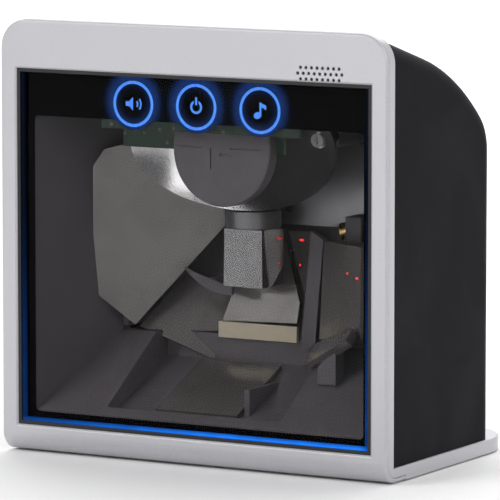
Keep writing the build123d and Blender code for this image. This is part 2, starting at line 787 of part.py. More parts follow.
with BuildPart() as mirror_carrier:
    add(box_between(-carrier_half, carrier_half, carrier_back, carrier_back + carrier_plate,
                    carrier_bottom, carrier_top))
    for side in (-1, 1):
        inner, outer = sorted((side * (carrier_half - carrier_plate), side * carrier_half))
        add(box_between(inner, outer, funnel_end + 0.5, carrier_back, funnel_floor + 1.5, carrier_top - 6))
    for name in posts:
        add(mirror_seat(name, mirror_room.part))
    # posts for the collector and for the optics bracket
    with BuildSketch(front_plane(carrier_back)):
        with Locations((collector_x, collector_screw_h)):
            with GridLocations(2 * collector_screw_x, 1, 2, 1):
                Circle(boss_radius)
    extrude(amount=carrier_back - collector_depth - 2)
    with BuildSketch(front_plane(carrier_back)):
        with Locations(*bracket_screw_spots):
            Circle(boss_radius)
    extrude(amount=carrier_back - bracket_d - bracket_plate)
    with BuildSketch(front_plane(carrier_back)):
        with Locations(*bracket_screw_spots):
            Circle(screw_radius)
        with Locations((collector_x, collector_screw_h)):
            with GridLocations(2 * collector_screw_x, 1, 2, 1):
                Circle(screw_radius)
    extrude(amount=carrier_back, mode=Mode.SUBTRACT)
    for side in (-1, 1):
        with BuildSketch(side_plane(side * carrier_half)):
            with Locations(*carrier_screw_spots):
                Circle(screw_radius)
        extrude(amount=-side * carrier_plate, mode=Mode.SUBTRACT)
save(mirror_carrier.part, "mirror_carrier")

# pale bar under the centre mirror and the dark upright beside the right one
save(box_between(-16.6, 14.4, well_back - 1.5, well_back, funnel_floor - 1, funnel_floor + 4.5), "mirror_clip")

with BuildPart() as mirror_post:
    with BuildSketch(front_plane(well_back - 2.5)):
        with BuildLine():
            Polyline((20.5, 77), (25.5, 74), (22, funnel_floor - 2.5), (16.5, funnel_floor - 2.5), close=True)
        make_face()
    extrude(amount=-2.5)
save(mirror_post.part, "mirror_post")

with BuildPart() as beam_shield:
    with BuildSketch(front_plane(spin_d - 2)):
        with BuildLine():
            ThreePointArc((-26.5, 62), (-20, 56.4), (-7.5, 53.5))
            Line((-7.5, 53.5), (-7.5, 56.3))
            ThreePointArc((-7.5, 56.3), (-17, 58.8), (-26.5, 62))
        make_face()
    extrude(amount=-1.2)
    add(box_between(-19.5, -16.5, spin_d - 1, carrier_back, 56.3, 58.3))
save(beam_shield.part, "beam_shield")

# ---- concave collector, trimmed flat along its top
ball_place = (collector_x, behind(collector_depth - collector_sphere), above(collector_h))
with BuildPart() as collector_mirror:
    with BuildSketch(front_plane(collector_depth + 2)):
        with Locations((collector_x, collector_h)):
            Ellipse(collector_half_width, collector_half_height)
        with Locations((collector_x, collector_trim)):
            Rectangle(2 * collector_half_width, collector_half_height, align=(Align.CENTER, Align.MIN),
                      mode=Mode.SUBTRACT)
    extrude(amount=collector_depth)
    with Locations(ball_place):
        Sphere(collector_sphere + collector_thickness, mode=Mode.INTERSECT)
    with BuildSketch(front_plane(collector_depth + 2)):
        with Locations((collector_x, collector_screw_h)):
            with GridLocations(2 * collector_screw_x, 1, 2, 1):
                Circle(boss_radius)
    extrude(amount=collector_seat)
    with Locations(ball_place):
        Sphere(collector_sphere, mode=Mode.SUBTRACT)
    with BuildSketch(front_plane(0)):
        with Locations((collector_x, collector_screw_h)):
            with GridLocations(2 * collector_screw_x, 1, 2, 1):
                Circle(head_radius + 0.4)
    extrude(amount=-collector_head_d, mode=Mode.SUBTRACT)
    with BuildSketch(front_plane(0)):
        with Locations((collector_x, collector_screw_h)):
            with GridLocations(2 * collector_screw_x, 1, 2, 1):
                Circle(screw_radius + part_gap)
    extrude(amount=-carrier_back, mode=Mode.SUBTRACT)
save(collector_mirror.part, "collector_mirror")


def cover_outline(inset):
    with BuildSketch() as outline:
        with Locations((cover_x, cover_h)):
            Circle(cover_radius - inset)
            Rectangle(2 * (cover_radius - inset), cover_top - cover_h, align=(Align.CENTER, Align.MIN))
        with Locations((cover_x, cover_top - inset)):
            Rectangle(3 * cover_radius, 2 * cover_radius, align=(Align.CENTER, Align.MIN), mode=Mode.SUBTRACT)
    return outline.sketch


# ---- light sensor: D-shaped cover, board and diode
with BuildPart() as sensor_cover:
    with BuildSketch(front_plane(cover_front)):
        add(cover_outline(0))
    extrude(amount=-cover_depth)
    with BuildSketch(front_plane(cover_front + 1.6)):
        add(cover_outline(1.2))
    extrude(amount=-cover_depth, mode=Mode.SUBTRACT)
    chamfer(sensor_cover.faces().sort_by(Axis.Y)[0].edges(), length=0.4)
    with BuildSketch(front_plane(cover_front)):
        with Locations((cover_x - 13, cover_h + 1.3), (cover_x + 9, cover_h + 1.3)):
            Rectangle(11, 0.5)
        with Locations((cover_x - 4, cover_h - 2.5)):
            Rectangle(0.5, 7)
        with Locations((cover_x + 2, cover_h - 1)):
            Rectangle(5, 1.2)
    extrude(amount=-0.5, mode=Mode.SUBTRACT)
save(sensor_cover.part, "sensor_cover")

with BuildPart() as sensor_board:
    add(box_between(-36, 27, sensor_board_d, sensor_board_d + 1.2, sensor_board_bottom, sensor_board_bottom + 12))
    with BuildSketch(front_plane(sensor_board_d)):
        with Locations(*sensor_screw_spots):
            Circle(screw_radius + part_gap)
    extrude(amount=-2, mode=Mode.SUBTRACT)
save(sensor_board.part, "sensor_board")

with BuildPart() as photodiode:
    with BuildSketch(front_plane(sensor_board_d + 1.2)):
        with Locations((collector_x, sensor_board_bottom + 2.8)):
            Circle(2.6)
    extrude(amount=-2.2)
    fillet(photodiode.faces().sort_by(Axis.Y)[-1].edges(), radius=1.2)
save(photodiode.part, "photodiode")

# ---- bracket plate with the shelf that the motor hangs from
with BuildPart() as optics_bracket:
    add(box_between(-8, 45, bracket_d, bracket_d + bracket_plate, 77.5, 106.5))
    add(box_between(-shelf_half_width, shelf_half_width, shelf_front, bracket_d, shelf_bottom,
                    shelf_bottom + shelf_thickness))
    with BuildSketch(front_plane(0)):
        with Locations((6.1, 83.2)):
            Circle(2.15)
        with Locations(*bracket_screw_spots):
            Circle(screw_radius + part_gap)
    extrude(amount=-carrier_back, mode=Mode.SUBTRACT)
    fillet(optics_bracket.edges().filter_by(Axis.Y).sort_by(Axis.X)[-2:], radius=4)
save(optics_bracket.part, "optics_bracket")

# ---- motor, hung under the shelf, and the mirror block that it spins
axis_plane = Plane(origin=(0, behind(spin_d), above(0)), x_dir=(1, 0, 0), z_dir=(0, 0, 1))
motor_board_low = shelf_bottom - 1.2
save(box_between(-8.5, 8.5, shelf_front + 0.5, spin_d + 8, motor_board_low, shelf_bottom), "motor_board")

with BuildPart() as motor_bush:
    with BuildSketch(axis_plane.offset(bush_low)):
        Circle(2.8)
        Circle(spindle_radius + running_clearance, mode=Mode.SUBTRACT)
    extrude(amount=motor_board_low - bush_low)
save(motor_bush.part, "motor_bush")

with BuildPart() as motor_stator:
    with BuildSketch(axis_plane.offset(bush_low + 1)):
        Circle(4.2)
        with PolarLocations(0, 6):
            Rectangle(stator_radius - 0.4, 2, align=(Align.MIN, Align.CENTER))
        with PolarLocations(stator_radius - 1, 6):
            Rectangle(1.2, 4.6)
        Circle(2.8, mode=Mode.SUBTRACT)
    extrude(amount=3.6)
save(motor_stator.part, "motor_stator")

with BuildPart() as rotor_hub:
    with BuildSketch(axis_plane.offset(polygon_top)):
        Circle(bell_radius)
        Circle(spindle_radius, mode=Mode.SUBTRACT)
    extrude(amount=bell_wall)
    with BuildSketch(axis_plane.offset(polygon_top)):
        Circle(bell_radius)
        Circle(bell_radius - bell_wall, mode=Mode.SUBTRACT)
    extrude(amount=bell_height)
    fillet(rotor_hub.faces().sort_by(Axis.Z)[0].edges().sort_by(SortBy.LENGTH)[-1], radius=0.6)
save(rotor_hub.part, "rotor_hub")

polygon_middle = (polygon_bottom + polygon_top) / 2
with BuildPart() as polygon_mirror:
    with BuildSketch(axis_plane.offset(polygon_bottom)):
        Rectangle(polygon_side + 3, polygon_side + 3)
    extrude(amount=polygon_top - polygon_bottom)
    # each facet leans a little differently, which spreads the scan lines
    for quarter, facet_lean in enumerate((-2, -0.7, 0.7, 2)):
        facing = quarter * 90
        normal = (sin(radians(facing)), -cos(radians(facing)), sin(radians(facet_lean)))
        middle = (normal[0] * polygon_side / 2, behind(spin_d) + normal[1] * polygon_side / 2, above(polygon_middle))
        split(bisect_by=Plane(origin=middle, z_dir=normal), keep=Keep.BOTTOM)
    with BuildSketch(axis_plane.offset(polygon_bottom)):
        Circle(spindle_radius)
    extrude(amount=polygon_top - polygon_bottom, mode=Mode.SUBTRACT)
save(polygon_mirror.part, "polygon_mirror")

with BuildPart() as spindle:
    with BuildSketch(axis_plane.offset(polygon_bottom - 1)):
        Circle(spindle_radius)
    extrude(amount=motor_board_low - 0.4 - polygon_bottom + 1)
    chamfer(spindle.edges().filter_by(GeomType.CIRCLE), length=0.2)
save(spindle.part, "spindle")

with BuildPart() as polygon_washer:
    with BuildSketch(axis_plane.offset(polygon_bottom - 0.7)):
        Circle(4)
        Circle(spindle_radius, mode=Mode.SUBTRACT)
    extrude(amount=0.7)
save(polygon_washer.part, "polygon_washer")

# ---- laser module, aimed at the spinning mirror
laser_plane = Plane(origin=(30.5, behind(51), above(76.6)), z_dir=(-34, -7, -9))
with BuildPart() as laser_barrel:
    with BuildSketch(laser_plane):
        Circle(laser_radius)
    extrude(amount=-laser_length)
    chamfer(laser_barrel.edges().filter_by(GeomType.CIRCLE), length=0.3)
    with BuildSketch(laser_plane):
        Circle(laser_radius - 1)
    extrude(amount=-2.4, mode=Mode.SUBTRACT)
save(laser_barrel.part, "laser_barrel")

with BuildPart() as laser_lens:
    with BuildSketch(laser_plane.offset(-2.4)):
        Circle(laser_radius - 1)
    extrude(amount=1.6)
    fillet(laser_lens.faces().sort_by(Axis.X)[0].edges(), radius=0.7)
save(laser_lens.part, "laser_lens")

with BuildPart() as laser_bracket:
    add(box_between(34, 40, 47.5, bracket_d, 74, 82.5))
    with BuildSketch(laser_plane.offset(5)):
        Circle(laser_radius)
    extrude(amount=-laser_length - 10, mode=Mode.SUBTRACT)
save(laser_bracket.part, "laser_bracket")

# ---- main board in the foot, with its parts and the two sockets
with BuildPart() as main_board:
    add(box_between(-board_half, board_half, board_front, board_back, main_board_h, socket_low))
    with BuildSketch(level_plane(main_board_h)):
        with Locations((0, board_middle)):
            with GridLocations(board_pitch_x, board_pitch_y, 2, 2):
                Circle(screw_radius + part_gap)
    extrude(amount=board_thickness, mode=Mode.SUBTRACT)
save(main_board.part, "main_board")

with BuildPart() as main_chips:
    with BuildSketch(level_plane(socket_low)):
        with Locations((-26, 46)):
            Rectangle(14, 14)
        with Locations((26, 44)):
            Rectangle(10, 7)
        with Locations((38, 52)):
            Rectangle(5, 6)
    extrude(amount=1.5)
    with BuildSketch(level_plane(socket_low)):
        with Locations((32, 62), (40, 62)):
            Circle(3)
    extrude(amount=7)
save(main_chips.part, "main_chips")

socket_back = housing_back - 0.4
with BuildPart() as data_socket:
    with BuildSketch(front_plane(socket_back)):
        with Locations((data_x, socket_low + 6)):
            Rectangle(data_width, 12)
    extrude(amount=16)
    with BuildSketch(front_plane(socket_back)):
        with Locations((data_x, socket_low + 6)):
            Rectangle(data_width - 2.8, 8)
        with Locations((data_x, socket_low + 1.7)):
            Rectangle(5, 1.5)
    extrude(amount=13, mode=Mode.SUBTRACT)
save(data_socket.part, "data_socket")

with BuildPart() as power_socket:
    add(box_between(power_x - 4.5, power_x + 4.5, socket_back - 12, room_back_d, socket_low, socket_low + 10.5))
    with BuildSketch(front_plane(socket_back)):
        with Locations((power_x, socket_low + 5.5)):
            Circle(4.1)
    extrude(amount=4)
    with BuildSketch(front_plane(socket_back)):
        with Locations((power_x, socket_low + 5.5)):
            Circle(power_bore)
    extrude(amount=9, mode=Mode.SUBTRACT)
    with BuildSketch(front_plane(socket_back - 9)):
        with Locations((power_x, socket_low + 5.5)):
            Circle(0.8)
    extrude(amount=-7.5)
save(power_socket.part, "power_socket")


# ---- screws, each kind as one group
def screw(place, shank):
    # pan head above the plane, shank below it
    with BuildPart() as one:
        with BuildSketch(place):
            Circle(head_radius)
        extrude(amount=head_height)
        with BuildSketch(place.offset(head_height)):
            Rectangle(2.4, 0.5)
            Rectangle(0.5, 2.4)
        extrude(amount=-0.8, mode=Mode.SUBTRACT)
        with BuildSketch(place):
            Circle(screw_radius)
        extrude(amount=-shank)
    return one.part


def screw_group(places, shank):
    return Compound(children=[screw(place, shank) for place in places])


def spot_plane(x, d, h, direction):
    return Plane(origin=(x, behind(d), above(h)), z_dir=direction)


save(screw_group([spot_plane(x, screw_middle + y, head_recess, (0, 0, -1))
                  for x in (-screw_pitch_x / 2, screw_pitch_x / 2)
                  for y in (-screw_pitch_y / 2, screw_pitch_y / 2)], 11), "housing_screws")
save(screw_group([spot_plane(side * lug_x, lug_d, foot_thickness + lug_rise + flange, (0, 0, 1))
                  for side in (-1, 1)], 5), "tray_screws")
save(screw_group([spot_plane(side * (carrier_half + tray_wall), d, h, (side, 0, 0))
                  for side in (-1, 1) for d, h in carrier_screw_spots], 3.6), "carrier_screws")
save(screw_group([spot_plane(x, bracket_d, h, (0, -1, 0)) for x, h in bracket_screw_spots], 7), "bracket_screws")
save(screw_group([spot_plane(collector_x + side * collector_screw_x, collector_head_d, collector_screw_h, (0, -1, 0))
                  for side in (-1, 1)], 14), "collector_screws")
save(screw_group([spot_plane(x, board_middle + y, socket_low, (0, 0, 1))
                  for x in (-board_pitch_x / 2, board_pitch_x / 2)
                  for y in (-board_pitch_y / 2, board_pitch_y / 2)], 4.4), "main_board_screws")
save(screw_group([spot_plane(x, sensor_board_d, h, (0, -1, 0)) for x, h in sensor_screw_spots], 3), "sensor_screws")
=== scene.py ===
import json
import bpy
from mathutils import Matrix, Vector


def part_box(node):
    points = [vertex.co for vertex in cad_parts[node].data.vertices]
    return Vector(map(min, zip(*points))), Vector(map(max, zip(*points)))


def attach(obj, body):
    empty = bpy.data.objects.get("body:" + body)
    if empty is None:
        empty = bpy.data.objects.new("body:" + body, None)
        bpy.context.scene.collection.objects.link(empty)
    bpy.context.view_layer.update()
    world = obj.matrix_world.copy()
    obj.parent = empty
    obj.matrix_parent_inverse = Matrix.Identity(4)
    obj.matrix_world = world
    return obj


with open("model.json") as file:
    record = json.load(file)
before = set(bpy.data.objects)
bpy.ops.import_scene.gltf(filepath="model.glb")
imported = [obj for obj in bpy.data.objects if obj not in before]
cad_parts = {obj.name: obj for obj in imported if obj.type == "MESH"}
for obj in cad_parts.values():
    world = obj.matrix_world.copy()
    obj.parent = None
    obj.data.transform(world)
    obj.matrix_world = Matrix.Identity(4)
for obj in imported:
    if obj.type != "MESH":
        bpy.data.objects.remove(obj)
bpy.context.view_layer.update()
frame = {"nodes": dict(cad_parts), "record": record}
nodes = frame["nodes"]
print("stage: frame loaded,", len(nodes), "nodes")

mm = 0.001
guideLow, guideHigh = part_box("light_guide")


# small helpers for shader nodes
def setInputs(tree, node, values):
    # a value is a plain number or colour, or the output of another node
    for socket, value in values.items():
        if isinstance(value, bpy.types.NodeSocket):
            tree.links.new(value, node.inputs[socket])
        else:
            node.inputs[socket].default_value = value
    return node


def addNode(tree, kind, values=None, **settings):
    node = tree.nodes.new(kind)
    for key, value in settings.items():
        setattr(node, key, value)
    return setInputs(tree, node, values or {})


def mathNode(tree, operation, *values):
    node = addNode(tree, "ShaderNodeMath", dict(enumerate(values)), operation=operation)
    return node.outputs[0]


def stretch(tree, value, low, high, outLow, outHigh, smooth=False):
    # maps low..high onto outLow..outHigh
    kind = "SMOOTHSTEP" if smooth else "LINEAR"
    values = {"Value": value, "From Min": low, "From Max": high, "To Min": outLow, "To Max": outHigh}
    return addNode(tree, "ShaderNodeMapRange", values, interpolation_type=kind).outputs["Result"]


def tint(tree, amount, colourA, colourB):
    # a colour mix takes its two colours on sockets 6 and 7 and gives the result on 2
    values = {0: amount}
    for socket, colour in ((6, colourA), (7, colourB)):
        values[socket] = colour if isinstance(colour, bpy.types.NodeSocket) else (*colour, 1)
    return addNode(tree, "ShaderNodeMix", values, data_type="RGBA").outputs[2]


def place(tree):
    # where a point is in the scanner's own frame, whole and as X, Y and Z
    spot = addNode(tree, "ShaderNodeTexCoord").outputs["Object"]
    parts = addNode(tree, "ShaderNodeSeparateXYZ", {0: spot})
    return spot, parts.outputs["X"], parts.outputs["Y"], parts.outputs["Z"]


def noise(tree, **values):
    # noise over the surface, from 0 to 1
    sockets = {"Vector": place(tree)[0]}
    for name, value in values.items():
        sockets[name.capitalize()] = value
    return addNode(tree, "ShaderNodeTexNoise", sockets).outputs[0]


def faceNormal(tree):
    normal = addNode(tree, "ShaderNodeNewGeometry").outputs["Normal"]
    return addNode(tree, "ShaderNodeSeparateXYZ", {0: normal}).outputs


def startGroup(name, inputs, outputs):
    group = bpy.data.node_groups.new(name, "ShaderNodeTree")
    for socketName, kind, value in inputs:
        socket = group.interface.new_socket(name=socketName, in_out="INPUT", socket_type=kind)
        if value is not None:
            socket.default_value = value
    for socketName, kind in outputs:
        group.interface.new_socket(name=socketName, in_out="OUTPUT", socket_type=kind)
    return group, addNode(group, "NodeGroupInput").outputs, addNode(group, "NodeGroupOutput")


# fine moulded or sprayed grain: a bump and a speckle mask
grainSettings = {"scale": 2500.0, "depth": 0.2, "detail": 2.0, "bump": 0.15 * mm,
                 "noiseLow": 0.3, "noiseHigh": 0.7}


def buildMouldGrain():
    look = grainSettings
    group, given, out = startGroup("mouldGrain", [
        ("Scale", "NodeSocketFloat", look["scale"]),
        ("Depth", "NodeSocketFloat", look["depth"]),
        ("Normal", "NodeSocketVector", None),
    ], [("Speckle", "NodeSocketFloat"), ("Normal", "NodeSocketVector")])
    fine = noise(group, scale=given["Scale"], detail=look["detail"])
    bump = addNode(group, "ShaderNodeBump", {
        "Strength": given["Depth"], "Distance": look["bump"], "Height": fine, "Normal": given["Normal"]})
    speckle = stretch(group, fine, look["noiseLow"], look["noiseHigh"], 0.0, 1.0)
    setInputs(group, out, {"Speckle": speckle, "Normal": bump.outputs[0]})
    return group


# soft patches where hands have polished or marked the surface
handlingSettings = {"size": 30.0, "amount": 0.3, "detail": 5.0, "roughness": 0.62, "distortion": 0.6,
                    "noiseLow": 0.42, "noiseHigh": 0.72}


def buildHandling():
    look = handlingSettings
    group, given, out = startGroup("handling", [
        ("Size", "NodeSocketFloat", look["size"]),
        ("Amount", "NodeSocketFloat", look["amount"]),
    ], [("Mask", "NodeSocketFloat")])
    wide = noise(group, scale=given["Size"], detail=look["detail"], roughness=look["roughness"],
                 distortion=look["distortion"])
    patches = stretch(group, wide, look["noiseLow"], look["noiseHigh"], 0.0, 1.0, smooth=True)
    setInputs(group, out, {"Mask": mathNode(group, "MULTIPLY", patches, given["Amount"])})
    return group


# dust that settles on faces that look upward
dustSettings = {"amount": 0.2, "scale": 900.0, "detail": 4.0, "upwardFrom": 0.6,
                "noiseLow": 0.5, "noiseHigh": 0.72, "thinnest": 0.15}


def buildLedgeDust():
    look = dustSettings
    group, given, out = startGroup("ledgeDust", [
        ("Amount", "NodeSocketFloat", look["amount"]),
    ], [("Mask", "NodeSocketFloat")])
    grit = noise(group, scale=look["scale"], detail=look["detail"])
    upward = stretch(group, faceNormal(group)["Z"], look["upwardFrom"], 1.0, 0.0, 1.0, smooth=True)
    specks = stretch(group, grit, look["noiseLow"], look["noiseHigh"], look["thinnest"], 1.0)
    both = mathNode(group, "MULTIPLY", upward, specks)
    setInputs(group, out, {"Mask": mathNode(group, "MULTIPLY", both, given["Amount"])})
    return group


mouldGrain = buildMouldGrain()
handling = buildHandling()
ledgeDust = buildLedgeDust()
print("stage: shared effects built")


# small helpers for finishes
def placeGroup(tree, group, values):
    return addNode(tree, "ShaderNodeGroup", values, node_tree=group).outputs


def startFinish(name):
    finish = bpy.data.materials.new(name)
    finish.use_nodes = True
    tree = finish.node_tree
    return finish, tree, tree.nodes["Principled BSDF"]


def softGrain(tree, scale, depth, edgeRadius):
    # grain over shading that is rounded at the crisp corners
    edges = addNode(tree, "ShaderNodeBevel", {"Radius": edgeRadius}, samples=4)
    return placeGroup(tree, mouldGrain, {"Scale": scale, "Depth": depth, "Normal": edges.outputs[0]})


def handMarks(tree, look):
    values = {"Size": look["handSize"], "Amount": look["handAmount"]}
    return placeGroup(tree, handling, values)["Mask"]


def dustMask(tree, look):
    return placeGroup(tree, ledgeDust, {"Amount": look["dust"]})["Mask"]


# silver front and foot
silverLook = {
    "colour": (0.525, 0.52, 0.545), "low": (0.46, 0.455, 0.48), "metallic": 0.40,
    "roughness": 0.40, "polish": 0.12, "grainScale": 2600.0, "grainDepth": 0.16,
    "edgeRadius": 0.6 * mm, "handSize": 22.0, "handAmount": 0.5,
    "dust": 0.10, "dustColour": (0.66, 0.65, 0.62),
}


def silverPaint():
    look = silverLook
    finish, tree, shader = startFinish("silverPaint")
    grain = softGrain(tree, look["grainScale"], look["grainDepth"], look["edgeRadius"])
    paint = tint(tree, grain["Speckle"], look["low"], look["colour"])
    rough = look["roughness"]
    setInputs(tree, shader, {
        "Base Color": tint(tree, dustMask(tree, look), paint, look["dustColour"]),
        "Roughness": stretch(tree, handMarks(tree, look), 0.0, 1.0, rough, rough - look["polish"]),
        "Normal": grain["Normal"],
        "Metallic": look["metallic"],
    })
    return finish


# charcoal rear housing
charcoalLook = {
    "colour": (0.0072, 0.0070, 0.0092), "worn": (0.011, 0.011, 0.014), "shine": 0.03,
    "roughness": 0.48, "polish": 0.10, "grainScale": 1500.0, "grainDepth": 0.15,
    "edgeRadius": 0.6 * mm, "handSize": 26.0, "handAmount": 0.6,
    "dust": 0.03, "dustColour": (0.30, 0.29, 0.27),
}


def charcoalPlastic():
    look = charcoalLook
    finish, tree, shader = startFinish("charcoalPlastic")
    grain = softGrain(tree, look["grainScale"], look["grainDepth"], look["edgeRadius"])
    hands = handMarks(tree, look)
    plastic = tint(tree, hands, look["colour"], look["worn"])
    rough = look["roughness"]
    setInputs(tree, shader, {
        "Base Color": tint(tree, dustMask(tree, look), plastic, look["dustColour"]),
        "Roughness": stretch(tree, hands, 0.0, 1.0, rough, rough - look["polish"]),
        "Normal": grain["Normal"],
        "Specular IOR Level": look["shine"],
    })
    return finish


# plain moulded plastics, rubber and the motor's iron
mouldedLooks = {
    "blackPlastic": {"colour": (0.010, 0.010, 0.011), "other": (0.020, 0.020, 0.022),
                     "roughness": 0.38, "scale": 1800.0, "depth": 0.10, "shine": 0.4},
    "basePlastic": {"colour": (0.014, 0.014, 0.015), "other": (0.026, 0.026, 0.028),
                    "roughness": 0.55, "scale": 1400.0, "depth": 0.22, "shine": 0.4},
    "trayPlastic": {"colour": (0.120, 0.112, 0.122), "other": (0.150, 0.140, 0.152),
                    "roughness": 0.50, "scale": 900.0, "depth": 0.15, "shine": 0.4},
    "footRubber": {"colour": (0.012, 0.012, 0.012), "other": (0.028, 0.027, 0.026),
                   "roughness": 0.80, "scale": 2200.0, "depth": 0.30, "shine": 0.3},
    "creamPlastic": {"colour": (0.62, 0.55, 0.40), "other": (0.70, 0.64, 0.50),
                     "roughness": 0.45, "scale": 1200.0, "depth": 0.10, "shine": 0.5},
    "diodeFilter": {"colour": (0.030, 0.004, 0.006), "other": (0.045, 0.008, 0.010),
                    "roughness": 0.12, "scale": 500.0, "depth": 0.02, "shine": 0.5},
    "motorIron": {"colour": (0.14, 0.085, 0.045), "other": (0.20, 0.13, 0.08),
                  "roughness": 0.45, "scale": 1500.0, "depth": 0.20, "shine": 0.5},
}
mouldedWear = {"handSize": 45.0, "handAmount": 0.7, "edgeRadius": 0.3 * mm, "spread": 0.05}


def mouldedPlastic(name):
    look, wear = mouldedLooks[name], mouldedWear
    finish, tree, shader = startFinish(name)
    grain = softGrain(tree, look["scale"], look["depth"], wear["edgeRadius"])
    setInputs(tree, shader, {
        "Base Color": tint(tree, handMarks(tree, wear), look["colour"], look["other"]),
        "Roughness": stretch(tree, grain["Speckle"], 0.0, 1.0, look["roughness"] - wear["spread"],
                             look["roughness"] + wear["spread"]),
        "Normal": grain["Normal"],
        "Specular IOR Level": look["shine"],
    })
    return finish


# bare metals
metalLooks = {
    "zincSteel": {"colour": (0.30, 0.30, 0.31), "other": (0.38, 0.38, 0.39),
                  "roughness": 0.34, "scale": 1400.0},
    "turnedBrass": {"colour": (0.62, 0.45, 0.20), "other": (0.74, 0.57, 0.28),
                    "roughness": 0.28, "scale": 1800.0},
    "turnedAluminium": {"colour": (0.26, 0.26, 0.27), "other": (0.34, 0.34, 0.35),
                        "roughness": 0.40, "scale": 1600.0},
}
metalWear = {"handSize": 60.0, "handAmount": 0.6, "edgeRadius": 0.2 * mm, "depth": 0.02,
             "smoother": 0.06, "rougher": 0.08}


def plainMetal(name):
    look, wear = metalLooks[name], metalWear
    finish, tree, shader = startFinish(name)
    grain = softGrain(tree, look["scale"], wear["depth"], wear["edgeRadius"])
    setInputs(tree, shader, {
        "Base Color": tint(tree, handMarks(tree, wear), look["colour"], look["other"]),
        "Roughness": stretch(tree, grain["Speckle"], 0.0, 1.0, look["roughness"] - wear["smoother"],
                             look["roughness"] + wear["rougher"]),
        "Normal": grain["Normal"],
        "Metallic": 1.0,
    })
    return finish


# green resist over raised tracks, with tinned dots
boardLook = {
    "resist": (0.004, 0.022, 0.010), "track": (0.008, 0.042, 0.020), "pad": (0.16, 0.15, 0.12),
    "trackScale": 160.0, "gap": 0.12, "gapSoft": 0.3, "stagger": 0.37, "dotScale": 260.0,
    "dotFull": 0.16, "dotEnd": 0.20, "raised": 0.1 * mm, "bump": 0.25,
    "roughness": 0.28, "padRoughness": 0.2,
}


def circuitBoard():
    look = boardLook
    finish, tree, shader = startFinish("circuitBoard")
    spot = place(tree)[0]
    tracks = addNode(tree, "ShaderNodeTexBrick", {
        "Vector": spot, "Scale": look["trackScale"], "Mortar Size": look["gap"],
        "Mortar Smooth": look["gapSoft"]}, offset=look["stagger"]).outputs["Fac"]
    dots = addNode(tree, "ShaderNodeTexVoronoi", {"Vector": spot, "Scale": look["dotScale"]})
    pads = stretch(tree, dots.outputs["Distance"], look["dotFull"], look["dotEnd"], 1.0, 0.0)
    lines = tint(tree, tracks, look["resist"], look["track"])
    bump = addNode(tree, "ShaderNodeBump", {
        "Strength": look["bump"], "Distance": look["raised"], "Height": tracks})
    setInputs(tree, shader, {
        "Base Color": tint(tree, pads, lines, look["pad"]),
        "Roughness": stretch(tree, pads, 0.0, 1.0, look["roughness"], look["padRoughness"]),
        "Normal": bump.outputs[0],
    })
    return finish


# smoked pane, which bends light less than real plastic so that its reflections stay faint
paneLook = {
    "glass": (0.66, 0.655, 0.66), "smudged": (0.60, 0.595, 0.60), "shine": 0.5, "bend": 1.12,
    "roughness": 0.0, "smudge": 0.02, "handSize": 40.0, "handAmount": 0.5,
}


def smokedGlass():
    look = paneLook
    finish, tree, shader = startFinish("smokedGlass")
    hands = handMarks(tree, look)
    colour = tint(tree, hands, look["glass"], look["smudged"])
    rough = look["roughness"]
    setInputs(tree, shader, {
        "Base Color": colour,
        "Roughness": stretch(tree, hands, 0.0, 1.0, rough, rough + look["smudge"]),
        "Transmission Weight": 1.0,
        "Specular IOR Level": look["shine"],
        "IOR": look["bend"],
    })
    # light for the parts inside passes straight through
    clear = addNode(tree, "ShaderNodeBsdfTransparent", {"Color": colour})
    path = addNode(tree, "ShaderNodeLightPath")
    mix = addNode(tree, "ShaderNodeMixShader", {
        0: path.outputs["Is Shadow Ray"], 1: shader.outputs[0], 2: clear.outputs[0]})
    setInputs(tree, tree.nodes["Material Output"], {"Surface": mix.outputs[0]})
    return finish


# the three touch symbols and the black print round them
symbolLook = {
    "pipes": ("volume_light_pipe", "power_light_pipe", "tone_light_pipe"),
    "radius": 8.3 * mm, "rise": 0.5 * mm, "reach": 5.0 * mm,
    "glow": (0.02, 0.09, 0.42), "glowStrength": 0.4,
    "core": (0.09, 0.34, 1.0), "coreDeep": (0.06, 0.24, 0.95), "coreStrength": 1.15,
    "rippleScale": 420.0, "rippleDetail": 2.0, "frontFull": -0.9, "frontEnd": -0.6,
    # the pipes' front faces are painted lit blue and their sides painted dark as shade
    "pipeShadedSide": (0.01, 0.02, 0.05), "pipeLitFront": (0.10, 0.25, 0.7),
}
printLook = {"colour": (0.0035, 0.0028, 0.0042), "other": (0.006, 0.005, 0.007), "roughness": 0.10,
             "smudge": 0.1, "handSize": 50.0, "handAmount": 0.6}
unlit = (0, 0, 0)


def symbolHalo(tree):
    # a soft ring of light round each symbol, a little high, squared so that it fades faster
    look = symbolLook
    _, across, _, height = place(tree)
    halo = None
    for pipe in look["pipes"]:
        low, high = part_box(pipe)
        centre = (low + high) / 2
        dx = mathNode(tree, "SUBTRACT", across, centre.x)
        dz = mathNode(tree, "SUBTRACT", height, centre.z + look["rise"])
        squares = mathNode(tree, "ADD", mathNode(tree, "MULTIPLY", dx, dx),
                           mathNode(tree, "MULTIPLY", dz, dz))
        away = mathNode(tree, "SQRT", squares)
        gap = mathNode(tree, "ABSOLUTE", mathNode(tree, "SUBTRACT", away, look["radius"]))
        ring = stretch(tree, gap, 0.0, look["reach"], 1.0, 0.0, smooth=True)
        halo = ring if halo is None else mathNode(tree, "MAXIMUM", halo, ring)
    return mathNode(tree, "MULTIPLY", halo, halo)


def borderPrint():
    # black print, lit blue round the symbols
    look = printLook
    finish, tree, shader = startFinish("borderPrint")
    hands = handMarks(tree, look)
    rough = look["roughness"]
    setInputs(tree, shader, {
        "Base Color": tint(tree, hands, look["colour"], look["other"]),
        "Roughness": stretch(tree, hands, 0.0, 1.0, rough, rough + look["smudge"]),
        "Specular IOR Level": 0.0,
        "Emission Color": tint(tree, symbolHalo(tree), unlit, symbolLook["glow"]),
        "Emission Strength": symbolLook["glowStrength"],
    })
    return finish


